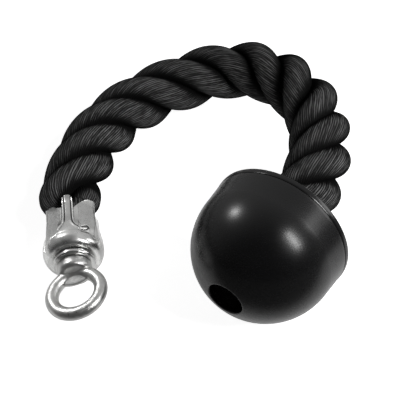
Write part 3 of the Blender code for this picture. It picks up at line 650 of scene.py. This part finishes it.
def cup_relief(angle, width, z, circle, folded):
    """How far the pressed sheet lies outside the round cup, apart from slits and lips: recesses,
    furrows, strips, plates, the pressed bulge with its crease and ridge, and the flare."""
    middle = np.radians(np.clip(width, 0, PLATE_LIMIT) - FLAT_TURN)
    flat = FLAT_REACH / np.cos(middle) - circle
    flat = flat * within(FLAT_SIDES, width) * fade(FLAT_END, z)
    even = -RECESS_DEPTH * within(RECESS_SIDES, width) * fade(RECESS_END, z)
    strip = STRIP_RISE - STRIP_LOWER * ease(*STRIP_LOWER_AT, -np.cos(angle))
    crease = bell(z - pick(folded, CREASE_PLACE), CREASE_WIDTH) * fade(CREASE_SIDE, width)
    ridge = bell(z - RIDGE_PLACE, RIDGE_WIDTH)
    return (
        pick(folded, (even, flat))
        - FURROW * bell(width - FURROW_TURN, FURROW_WIDTH) * within(FURROW_ENDS, z)
        + strip * ease(*STRIP_START, width) * fade(STRIP_END, z)
        + plate_shift(width, z, circle, folded)
        - PRESSED * within(PRESSED_SIDES, width) * within(PRESSED_ENDS, z) * ~folded
        - pick(folded, CREASE_DEPTH) * crease
        + RIDGE * ridge * pick(folded, [fade(span, width) for span in RIDGE_SIDE])
        + flare(width, z)
    )


def cup_inside(mouth, width, folded):
    """Radius and place of the cup's inner skin, from the shank's hole to a step inside the
    mouth: the outer one's circle and plates less the wall, which gets thinner there."""
    depth = CUP_LENGTH - WALL - BULGE_PLACE
    z = np.concatenate([
        CUP_LENGTH - WALL + 0 * mouth,
        BULGE_PLACE + depth * np.sin(np.linspace(1.35, 0, 5)) + 0 * mouth,
        BULGE_PLACE + (mouth + EDGE_STEP - BULGE_PLACE) * np.linspace(0.2, 1, 6),
    ], axis=1)
    past = np.clip((z - BULGE_PLACE) / depth, 0, 1)
    dome = CUP_END_RADIUS + (BULGE_RADIUS - CUP_END_RADIUS) * np.sqrt(1 - past**2)
    r = np.where(z <= BULGE_PLACE, skirt_circle(z), dome)
    r = r + plate_shift(width, z, r, folded)
    r = r - WALL + (WALL - EDGE_WALL) * fade(EDGE_THINNING, z - mouth) + flare(width, z)
    r[:, 0] = SHANK_HOLE
    return r, z


def cup_points():
    """Closed sections of the cup, one for each angle round it: the outside from the mouth over
    the bulge and the dome, the flat end, and the inside back to the mouth. With them come how
    black each point is, in its slits and in the painted shade along folds and edges, and how much
    painted light its tone carries."""
    angle = (2 * np.pi * np.arange(CUP_COLUMNS) / CUP_COLUMNS)[:, None]
    turn = np.degrees((angle - TONGUE_TURN + np.pi / 2) % np.pi - np.pi / 2)
    away, folded = np.abs(turn), turn > 0
    mouth = pick(folded, [np.interp(away, MOUTH_AT, places) for places in MOUTH])
    skirt_z = mouth + (BULGE_PLACE - mouth) * ROW_SHARES
    dome = np.linspace(0, np.pi / 2, DOME_ROWS)[1:]
    dome_z = BULGE_PLACE + (CUP_LENGTH - BULGE_PLACE) * np.sin(dome) + 0 * mouth
    dome_r = CUP_END_RADIUS + (BULGE_RADIUS - CUP_END_RADIUS) * np.cos(dome) + 0 * mouth
    z = np.concatenate([skirt_z, dome_z], axis=1)
    circle = np.concatenate([skirt_circle(skirt_z), dome_r], axis=1)
    width = away + 0 * z
    cut, lips, lip_highlight = cup_lines(width, z, folded)
    painted_light = cup_painted_light(width, z, folded, lip_highlight)
    r = circle + lips + cup_relief(angle, width, z, circle, folded) - SLIT_DEPTH * cut
    edge_r, edge_z = r[:, :1], z[:, :1].copy()
    z[:, 0] += EDGE_ROUNDING
    flat_r = np.linspace(CUP_END_RADIUS, SHANK_HOLE, 5)[1:] + 0 * mouth
    inside_r, inside_z = cup_inside(mouth, away, folded)
    rim = [edge_r - EDGE_WALL + EDGE_ROUNDING, edge_r - EDGE_ROUNDING]
    all_r = np.concatenate([*rim, r, flat_r, inside_r], axis=1)
    all_z = np.concatenate([edge_z, edge_z, z, CUP_LENGTH + 0 * flat_r, inside_z], axis=1)
    black, shine = np.zeros_like(all_r), np.full_like(all_r, PLAIN_LIGHT_LEVEL)
    outside = slice(len(rim), len(rim) + z.shape[1])
    black[:, outside] = cut
    shine[:, outside] = painted_light
    return to_ferrule(all_r, angle, all_z), black, shine


WEAR = ("Dent Size", "Dent Depth", "Grain Size", "Grain Depth")


def surface_group():
    """Wear of plated metal, as a normal and a mottle mask: soft dents and fine grain, of sizes
    and depths that a material gives."""
    group = bpy.data.node_groups.new("plated_surface", "ShaderNodeTree")
    for name in WEAR:
        group.interface.new_socket(name, in_out="INPUT", socket_type="NodeSocketFloat")
    group.interface.new_socket("Normal", in_out="OUTPUT", socket_type="NodeSocketVector")
    group.interface.new_socket("Mottle", in_out="OUTPUT", socket_type="NodeSocketFloat")
    inlet = group.nodes.new("NodeGroupInput").outputs
    outlet = group.nodes.new("NodeGroupOutput")
    place = group.nodes.new("ShaderNodeTexCoord").outputs["Object"]
    dents = noise(group, place, inlet["Dent Size"], 2, 0.45)
    grain = noise(group, place, inlet["Grain Size"], 3, 0.6)
    dented = bump(group, dents, {"Distance": inlet["Dent Depth"]})
    grained = bump(group, grain, {"Distance": inlet["Grain Depth"], "Normal": dented})
    plug(group, outlet, {"Normal": grained, "Mottle": dents})
    return group


plated_surface = surface_group()
# What the mottle adds to roughness and leaves of the tone, the darkest tone of the metal and
# what painted light adds to it, the black inside a slit, also of the painted shade along folds
# and edges, and how much less blue than grey the plating is.
MOTTLE_ROUGHNESS, MOTTLE_TONE = 0.24, 0.86
DARKEST_METAL_TONE, PAINTED_LIGHT_TONE = 0.70, 0.65
SLIT_AND_SHADE_BLACK = (0.012, 0.012, 0.012, 1)
PLATING_WARMTH = 0.01


def plated_material(name, grey, roughness, dents, grain, slits=False):
    """Bright plating: the surface group's normal, and roughness and tone that vary with its
    mottle. A cut sheet has a tone that follows its painted light, and black where it has slits and
    painted shade along folds and edges. Dents and grain are (size, depth)."""
    colour = (grey, grey, grey - PLATING_WARMTH)
    material, tree, shader = new_material(name)
    surface = new_node(tree, "ShaderNodeGroup", node_tree=plated_surface)
    plug(tree, surface, zip(WEAR, (*dents, *grain)))
    mottle = surface.outputs["Mottle"]
    least = roughness - MOTTLE_ROUGHNESS / 2
    rough = maths(tree, "MULTIPLY_ADD", mottle, MOTTLE_ROUGHNESS, least)
    dark = tuple(MOTTLE_TONE * c for c in colour)
    tone, metal = ramp(tree, mottle, [(0.30, dark), (0.70, colour)]), 1
    if slits:
        # Painted light: the tone follows the painted highlights, reflections and shade that the
        # points carry.
        shine = maths(tree, "MULTIPLY_ADD", point_value(tree, "painted_light"), PAINTED_LIGHT_TONE, DARKEST_METAL_TONE)
        inputs = {"Factor": 1.0, "A": tone, "B": shine}
        worn = new_node(tree, "ShaderNodeMix", inputs, data_type="RGBA", blend_type="MULTIPLY")
        # Black in the slits, also for the painted shade along folds and edges, where the sheet is
        # not metal.
        deep = ramp(tree, point_value(tree, "slit"), [(0.25, 0.0), (0.50, 1.0)])
        inputs = {"Factor": deep, "A": worn.outputs["Result"], "B": SLIT_AND_SHADE_BLACK}
        tone = new_node(tree, "ShaderNodeMix", inputs, data_type="RGBA").outputs["Result"]
        metal = maths(tree, "SUBTRACT", 1.0, deep)
    plug(tree, shader, {"Base Color": tone, "Metallic": metal, "Roughness": rough})
    plug(tree, shader, {"Normal": surface.outputs["Normal"]})
    return material


zinc_plate = plated_material(
    "zinc_plate", 0.72, 0.27, (260.0, 0.00004), (2600.0, 0.00001), slits=True,
)
cup, cup_slits_and_shade, cup_shine = cup_points()
cup_quads = outward(cup, grid_faces(*cup.shape[:2], closed_rows=True))
ferrule = grid_piece("pressed_ferrule", cup, cup_quads, zinc_plate)
# The points carry the black of the slits with the painted shade along folds and edges, and the
# painted light of the tone.
value_attribute(ferrule, "slit", cup_slits_and_shade)
value_attribute(ferrule, "painted_light", cup_shine)
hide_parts("ferrule_cup")
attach(ferrule, "ferrule")


# Collar: a turned steel ring between the ferrule's flat end and the neck of the eye.
COLLAR_RADIUS = 0.010
COLLAR = (0.0279, 0.0307)
ROUND_COLUMNS = 256


def rounded(corners, cut, steps=7):
    """A closed outline whose corners are rounded: each is replaced by a parabola between the
    points that lie a cut length from it on both sides."""
    corners = np.asarray(corners, dtype=float)
    cut = np.broadcast_to(np.asarray(cut, dtype=float), len(corners))[:, None]
    start = corners + unit(np.roll(corners, 1, axis=0) - corners) * cut
    end = corners + unit(np.roll(corners, -1, axis=0) - corners) * cut
    u = np.linspace(0, 1, steps)[None, :, None]
    curve = (1 - u) ** 2 * start[:, None] + 2 * u * (1 - u) * corners[:, None] + u**2 * end[:, None]
    return curve.reshape(-1, 2)


def turned_points(outline, place):
    """The closed outline (r, z) carried round the axis. Grid of (angle, outline)."""
    angle = 2 * np.pi * np.arange(ROUND_COLUMNS)[:, None] / ROUND_COLUMNS
    return place(outline[None, :, 0] + 0 * angle, angle, outline[None, :, 1] + 0 * angle)


def turned_piece(name, outline, place, material):
    """The turned piece's mesh object, closed both ways, with its faces outward."""
    points = turned_points(outline, place)
    quads = outward(points, grid_faces(*points.shape[:2], closed_rows=True))
    return grid_piece(name, points, quads, material)


low, high = COLLAR
collar_outline = rounded(
    [(SHANK_HOLE, low), (COLLAR_RADIUS, low), (COLLAR_RADIUS, high), (SHANK_HOLE, high)],
    [0.0002, 0.0011, 0.0012, 0.0002],
)
turned_steel = plated_material("turned_steel", 0.70, 0.24, (180.0, 0.00004), (2400.0, 0.00001))
collar = turned_piece("collar", collar_outline, to_ferrule, turned_steel)
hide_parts("collar_ring")
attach(collar, "ferrule")


# Swivel eye: one steel casting, plated: a ring of round bar with a filled foot, on a domed neck.
# Its shank passes through the collar and the ferrule's end and is formed over a washer inside.
EYE_RADIUS = 0.01167
EYE_BAR = 0.00315
EYE_PLACE = 0.04757
EYE_TURN = math.radians(16)
NECK_OUTLINE = [
    (0.0042, 0.0310), (0.0079, 0.0310), (0.0081, 0.0330), (0.0081, 0.0349), (0.0075, 0.0361),
    (0.0060, 0.0368), (0.0036, 0.0371), (0.0012, 0.0372),
]
FOOT_PLACE = 0.0374
FOOT_SIZE = (0.0082, 0.0052)
FOOT_THICKNESS = (0.0040, 0.0007)
FOOT_POWER = 0.15
# The shank with its formed head, and a core that joins neck, foot and shank into one skin.
SHANK_OUTLINE = [
    (0.0010, 0.0217), (0.0066, 0.0217), (0.0074, 0.0225), (0.0074, 0.0243), (0.0042, 0.0244),
    (0.0042, 0.0350), (0.0010, 0.0350),
]
CORE_OUTLINE = [(0.0, 0.0222), (0.0020, 0.0217), (0.0020, 0.0384), (0.0, 0.0385)]


def ring_points(columns, rows):
    """The eye's ring: a circle of the bar's radius carried round the ring's own circle."""
    around = (2 * np.pi * np.arange(columns) / columns)[:, None]
    across = 2 * np.pi * np.arange(rows)[None, :] / rows
    reach = EYE_RADIUS + EYE_BAR * np.cos(across)
    x = reach * np.sin(around)
    y = EYE_BAR * np.sin(across) + 0 * around
    z = EYE_PLACE + reach * np.cos(around)
    return eye_points(x, y, z)


def foot_points(columns, rows):
    """The filled foot of the ring: a wedge with flat faces and a round outline, since its
    thickness falls evenly from the neck and goes with a small power of an ellipsoid's. Its small
    end rings are closed by caps."""
    around = (2 * np.pi * np.arange(columns) / columns)[:, None]
    last = np.pi / 2 - 0.05
    rise = np.linspace(-last, last, rows)[None, :]
    x = FOOT_SIZE[0] * np.cos(rise) * np.cos(around)
    thickness = np.interp(np.sin(rise), (-1, 1), FOOT_THICKNESS)
    flat = (np.cos(rise) * np.abs(np.sin(around))) ** FOOT_POWER
    y = thickness * flat * np.sign(np.sin(around))
    z = FOOT_PLACE + FOOT_SIZE[1] * np.sin(rise) + 0 * around
    return eye_points(x, y, z)


def eye_points(x, y, z):
    """Points of the eye, turned about the ferrule's axis: x in the ring's plane, y across it."""
    radius, angle = np.hypot(x, y), np.arctan2(y, x) + EYE_TURN
    return to_ferrule(radius, angle, z)


def joined_by_remesh(name, grids, voxel, smoothing, material):
    """Closed grids joined into one skin by a voxel remesh and smoothed, so that the places
    where they meet get the fillets of a casting. A grid marked open gets caps on its ends."""
    whole = bmesh.new()
    for points, capped in grids:
        rows, columns = points.shape[:2]
        faces = grid_faces(rows, columns, closed_rows=True, closed_columns=not capped)
        near = tuple(range(0, rows * columns, columns))
        far = tuple(range(columns - 1, rows * columns, columns))[::-1]
        caps = (near, far) if capped else ()
        mesh = bpy.data.meshes.new("part")
        mesh.from_pydata(points.reshape(-1, 3), [], [*faces.tolist(), *caps])
        whole.from_mesh(mesh)
        bpy.data.meshes.remove(mesh)
    bmesh.ops.recalc_face_normals(whole, faces=whole.faces)
    mesh = bpy.data.meshes.new(name)
    whole.to_mesh(mesh)
    whole.free()
    mesh.materials.append(material)
    piece = new_object(name, mesh)
    remesh = piece.modifiers.new("one_skin", "REMESH")
    remesh.mode = "VOXEL"
    remesh.voxel_size = voxel
    remesh.use_smooth_shade = True
    soften = piece.modifiers.new("fillets", "SMOOTH")
    soften.factor = 0.5
    soften.iterations = smoothing
    bpy.context.view_layer.update()
    finished = piece.evaluated_get(bpy.context.evaluated_depsgraph_get())
    baked = bpy.data.meshes.new_from_object(finished)
    piece.modifiers.clear()
    piece.data = baked
    baked.shade_smooth()
    return piece


neck = turned_points(rounded(NECK_OUTLINE + [(0.0010, 0.0340)], 0.0003, 4), to_ferrule)
shank, core = (
    turned_points(np.array(outline), to_ferrule) for outline in (SHANK_OUTLINE, CORE_OUTLINE)
)
cast_steel = plated_material("cast_plate", 0.62, 0.33, (620.0, 0.00006), (1500.0, 0.00012))
eye_grids = [(ring_points(200, 64), False), (foot_points(96, 40), True)]
eye_grids += [(neck, False), (shank, False), (core, False)]
eye = joined_by_remesh("cast_eye", eye_grids, 0.00026, 3, cast_steel)
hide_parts("swivel_eye")
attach(eye, "eye")


# Ball grip: a hard black plastic ball, moulded with a satin skin, with a socket for the rope in
# its flat back and a deep hole in front, through which it is screwed on the rope's end.
BALL_RADIUS = 0.034
RIM_RADIUS = 0.03475
CAP_THICKNESS = 0.0027
HOLE_RADIUS = 0.0091
HOLE_MOUTH_RADIUS = 0.0087
HOLE_EDGE = 0.0006
# The moulded hole leans a little from the ball's axis towards this direction, by this angle at
# its mouth, and meets the axis at its bottom.
HOLE_LEAN_TO = np.array([-0.549, -0.819, -0.167])
HOLE_LEAN = math.radians(6.0)
SOCKET_RADIUS = 0.0164
SOCKET_END = 0.0144
SPIGOT_RADIUS = 0.0200
SEAT_GAP = 0.0004
SEAT_END = -0.0064
BORE_RADIUS = 0.0028
HOLE_BOTTOM = 0.0204
SEAM_EDGE = 0.00022
SEAM_GAP = 0.00018


def to_ball(r, angle, z):
    """Points in the ball's frame, Z from its centre towards its hole."""
    return axis_points(BALL_CENTRE, BALL_WAY, r, angle, z)


def side_radius(z):
    """Radius of the ball's side, which widens from its round half to the rim of its back."""
    return BALL_RADIUS - (RIM_RADIUS - BALL_RADIUS) * z / BALL_FLAT


def satin_plastic(name, colour, roughness):
    """Moulded black plastic with a satin skin: a very fine grain, faint flow marks in the gloss
    and fine rubbed hairlines."""
    material, tree, shader = new_material(name)
    place = tree.nodes.new("ShaderNodeTexCoord").outputs["Object"]
    grain = noise(tree, place, 2600.0)
    flow = noise(tree, place, 38.0, 3, 0.55)
    rub = noise(tree, stretched(tree, place, (240.0, 1500.0, 700.0)), 1.0, 3, 0.65)
    gloss = maths(tree, "MULTIPLY_ADD", flow, 0.10, roughness - 0.09)
    low_tone = tuple(0.8 * c for c in colour)
    plug(tree, shader, {
        "Normal": bump(tree, grain, {"Strength": 0.5, "Distance": 0.00001}),
        "Roughness": maths(tree, "MULTIPLY_ADD", rub, 0.08, gloss),
        "Base Color": ramp(tree, flow, [(0.35, low_tone), (0.65, colour)]),
        "IOR": 1.40,
    })
    return material


def leaning_hole(r, angle, z):
    """The ball's points, with those near the hole's mouth turned about the ball's centre: the
    turn fades with their angle from the axis and with their depth (Rodrigues' formula)."""
    points = to_ball(r, angle, z) - BALL_CENTRE
    reach = np.linalg.norm(points, axis=-1)
    share = ease(0.0225, 0.0320, reach) * ease(0.45, 0.90, (points @ BALL_WAY) / reach)
    turn = (HOLE_LEAN * share)[..., None]
    pin = unit(np.cross(BALL_WAY, HOLE_LEAN_TO))
    along = (points @ pin)[..., None] * pin
    turned = points * np.cos(turn) + np.cross(pin, points) * np.sin(turn)
    return BALL_CENTRE + turned + along * (1 - np.cos(turn))


rim_angle = math.acos((HOLE_MOUTH_RADIUS + HOLE_EDGE) / BALL_RADIUS)
sweep = np.linspace(rim_angle, 0, 90)
ball_front = np.stack([BALL_RADIUS * np.cos(sweep), BALL_RADIUS * np.sin(sweep)], axis=1)
hole_turn = np.linspace(0, np.pi / 2, 9)[1:]
hole_top = BALL_RADIUS * math.sin(rim_angle) - HOLE_EDGE
hole_edge = np.stack([
    HOLE_MOUTH_RADIUS + HOLE_EDGE * (1 - np.sin(hole_turn)),
    hole_top + HOLE_EDGE * np.cos(hole_turn),
], axis=1)
seam = CAP_THICKNESS - BALL_FLAT + SEAM_GAP
edge_turn = np.linspace(0, np.pi / 2, 7)
seam_edge = np.stack([
    side_radius(seam + SEAM_EDGE) - SEAM_EDGE * (1 - np.cos(edge_turn)),
    seam + SEAM_EDGE * (1 - np.sin(edge_turn)),
], axis=1)
seat_radius = SPIGOT_RADIUS + SEAT_GAP
ball_back = np.array([
    (seat_radius, seam), (seat_radius, SEAT_END), (SOCKET_RADIUS, SEAT_END),
    (SOCKET_RADIUS, SOCKET_END), (BORE_RADIUS, SOCKET_END), (BORE_RADIUS, HOLE_BOTTOM),
    (HOLE_RADIUS - HOLE_EDGE, HOLE_BOTTOM), (HOLE_RADIUS, HOLE_BOTTOM + HOLE_EDGE),
])
hole_wall = np.linspace((HOLE_RADIUS, 0.0225), (HOLE_MOUTH_RADIUS, hole_top - HOLE_EDGE), 10)
ball_side = np.array([(side_radius(-0.006), -0.006), (side_radius(-0.0095), -0.0095)])
ball_outline = np.concatenate([
    ball_front, ball_side, seam_edge, ball_back, hole_wall, hole_edge[::-1],
])
satin_black = satin_plastic("satin_black", (0.0048, 0.0048, 0.0052), 0.27)
grip = turned_piece("ball", ball_outline, leaning_hole, satin_black)
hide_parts("ball_grip")
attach(grip, "ball")


# Back cap: a thin disc of the same plastic pressed into the ball's back round the rope. Its
# rounded rim stands just clear of the ball and leaves a fine seam.
back = -BALL_FLAT
front = back + CAP_THICKNESS
spigot = front + 0.0045
cap_outline = rounded(
    [
        (SPIGOT_RADIUS, spigot), (SPIGOT_RADIUS, front), (side_radius(front) - 0.00002, front),
        (side_radius(front) + 0.00020, front - 0.0007), (RIM_RADIUS + 0.0001, back),
        (SOCKET_RADIUS, back), (SOCKET_RADIUS, spigot),
    ],
    [0.0004, 0.0003, 0.00015, 0.00020, 0.00060, 0.0006, 0.0004],
)
rim_black = satin_plastic("rim_black", (0.0060, 0.0060, 0.0064), 0.20)
cap = turned_piece("ball_cap", cap_outline, to_ball, rim_black)
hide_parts("ball_back_cap")
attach(cap, "ball")


# End screw and washers: plain zinc-plated steel. The screw and its washer lie deep in the ball's
# hole, and the other washer is inside the ferrule, under the eye's formed head.
screw_steel = plated_material("screw_steel", 0.55, 0.30, (500.0, 0.00003), (3000.0, 0.00001))
for node in ("end_screw", "screw_washer", "thrust_washer"):
    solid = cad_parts[node]
    solid.data.materials.clear()
    solid.data.materials.append(screw_steel)


# Floor and light: a plain white sweep in a white tent that is open towards the camera, so the
# steel and the plastic see white beside and behind them and a dark room in front. Three soft
# lamps shine through the tent: above on the left, on the right in front and low on the right.
FLOOR_HALF = 6
# The floor's tone, and the darker one that mirrors see outside a patch under the object, a
# painted dark reflection of the room; where that patch starts in front and ends beside it, and how
# it glows to mirrors, a painted light that lifts the floor's shade under the object in
# reflections, and to the camera.
FLOOR_TONES = ((0.0, 0.86), (1.0, 0.24))
PATCH_FRONT, PATCH_SIDE = (-0.065, -0.025), (0.18, 0.34)
PATCH_GLOW, FLOOR_GLOW = 0.40, 0.94
# The tent's light from above, the sides and the back, the least of it, and the share of it that
# lights dull surfaces.
TENT_ABOVE, TENT_SIDES, TENT_BACK, TENT_LEAST = 0.30, 0.22, 0.34, 0.07
DULL_SHARE = 0.16
LAMP_AIM = Vector((0.01, 0.04, 0.02))
LAMP_DISTANCE = 1.3
WHITE = (1, 1, 1, 1)


def direct_rays(tree):
    """The kinds of ray that look at a surface, as two outputs: camera, and glossy or clear."""
    path = tree.nodes.new("ShaderNodeLightPath").outputs
    clear = maths(tree, "MAXIMUM", path["Is Glossy Ray"], path["Is Transmission Ray"])
    return path["Is Camera Ray"], clear


def rise_over(tree, value, low, high):
    """A smooth rise from 0 to 1 as a value goes from low to high."""
    inputs = {"From Min": low, "From Max": high, "Value": value}
    return new_node(tree, "ShaderNodeMapRange", inputs, interpolation_type="SMOOTHSTEP").outputs[0]


floor_mesh = bpy.data.meshes.new("floor")
corners = [(FLOOR_HALF * x, FLOOR_HALF * y, 0) for x, y in ((-1, -1), (1, -1), (1, 1), (-1, 1))]
floor_mesh.from_pydata(corners, [], [(0, 1, 2, 3)])
floor = new_object("floor", floor_mesh)
sweep_white, tree, shader = new_material("white_sweep")
place = tree.nodes.new("ShaderNodeTexCoord").outputs["Object"]
spot = new_node(tree, "ShaderNodeSeparateXYZ", {0: place}).outputs
behind = rise_over(tree, spot["Y"], *PATCH_FRONT)
beside = rise_over(tree, maths(tree, "ABSOLUTE", spot["X"]), *PATCH_SIDE)
beside = maths(tree, "SUBTRACT", 1.0, beside)
patch = maths(tree, "MULTIPLY", behind, beside)
seen_ray, mirror = direct_rays(tree)
# Painted reflection: mirrors see the floor darker outside the patch, and inside it the floor glows
# to lift its shade.
dimmed = maths(tree, "MULTIPLY", maths(tree, "SUBTRACT", 1.0, patch), mirror)
glow = chain(tree, "MULTIPLY", patch, mirror, PATCH_GLOW)
plug(tree, shader, {
    "Base Color": ramp(tree, dimmed, FLOOR_TONES),
    "Roughness": 0.9,
    "Specular IOR Level": 0.0,
    "Emission Color": WHITE,
    "Emission Strength": maths(tree, "MULTIPLY_ADD", seen_ray, FLOOR_GLOW, glow),
})
floor_mesh.materials.append(sweep_white)

room = bpy.data.worlds.new("studio")
bpy.context.scene.world = room
room.use_nodes = True
tree = room.node_tree
way = tree.nodes.new("ShaderNodeTexCoord").outputs["Generated"]
x, y, z = new_node(tree, "ShaderNodeSeparateXYZ", {0: way}).outputs
top, ahead = rise_over(tree, z, 0.1, 1.0), rise_over(tree, y, -0.62, 0.33)
above = chain(tree, "MULTIPLY", top, TENT_ABOVE, ahead)
sides = chain(tree, "MULTIPLY", x, x, TENT_SIDES, rise_over(tree, y, -0.6, 0.1))
back = maths(tree, "MULTIPLY", rise_over(tree, y, -0.1, 0.9), TENT_BACK)
tent = chain(tree, "ADD", above, sides, back, TENT_LEAST)
seen_ray, mirror = direct_rays(tree)
kept = maths(tree, "MULTIPLY_ADD", mirror, 1 - DULL_SHARE, DULL_SHARE)
tent = maths(tree, "MULTIPLY", tent, kept)
strength = maths(tree, "MAXIMUM", tent, seen_ray)
plug(tree, tree.nodes["Background"], {"Strength": strength, "Color": WHITE})


def soft_lamp(name, way, size, power, gloss_only=False):
    """An area lamp of a width and a height that faces the object from a direction. A lamp for
    gloss alone stands for a far one, whose light on dull things is lost beside the tent's."""
    place = LAMP_AIM + Vector(way).normalized() * LAMP_DISTANCE
    lamp = new_object(name, bpy.data.lights.new(name, "AREA"))
    lamp.data.shape = "RECTANGLE"
    lamp.data.size, lamp.data.size_y = size
    lamp.data.energy = power
    lamp.visible_diffuse = not gloss_only
    turn = (LAMP_AIM - place).to_track_quat("-Z", "Y")
    lamp.matrix_world = Matrix.Translation(place) @ turn.to_matrix().to_4x4()


soft_lamp("left_lamp", (-0.65, 0.35, 0.67), (0.19, 0.19), 4.6, gloss_only=True)
soft_lamp("right_lamp", (0.60, -0.38, 0.70), (0.15, 0.56), 9.0)
soft_lamp("side_lamp", (0.86, 0.29, 0.46), (0.55, 0.50), 4.0)
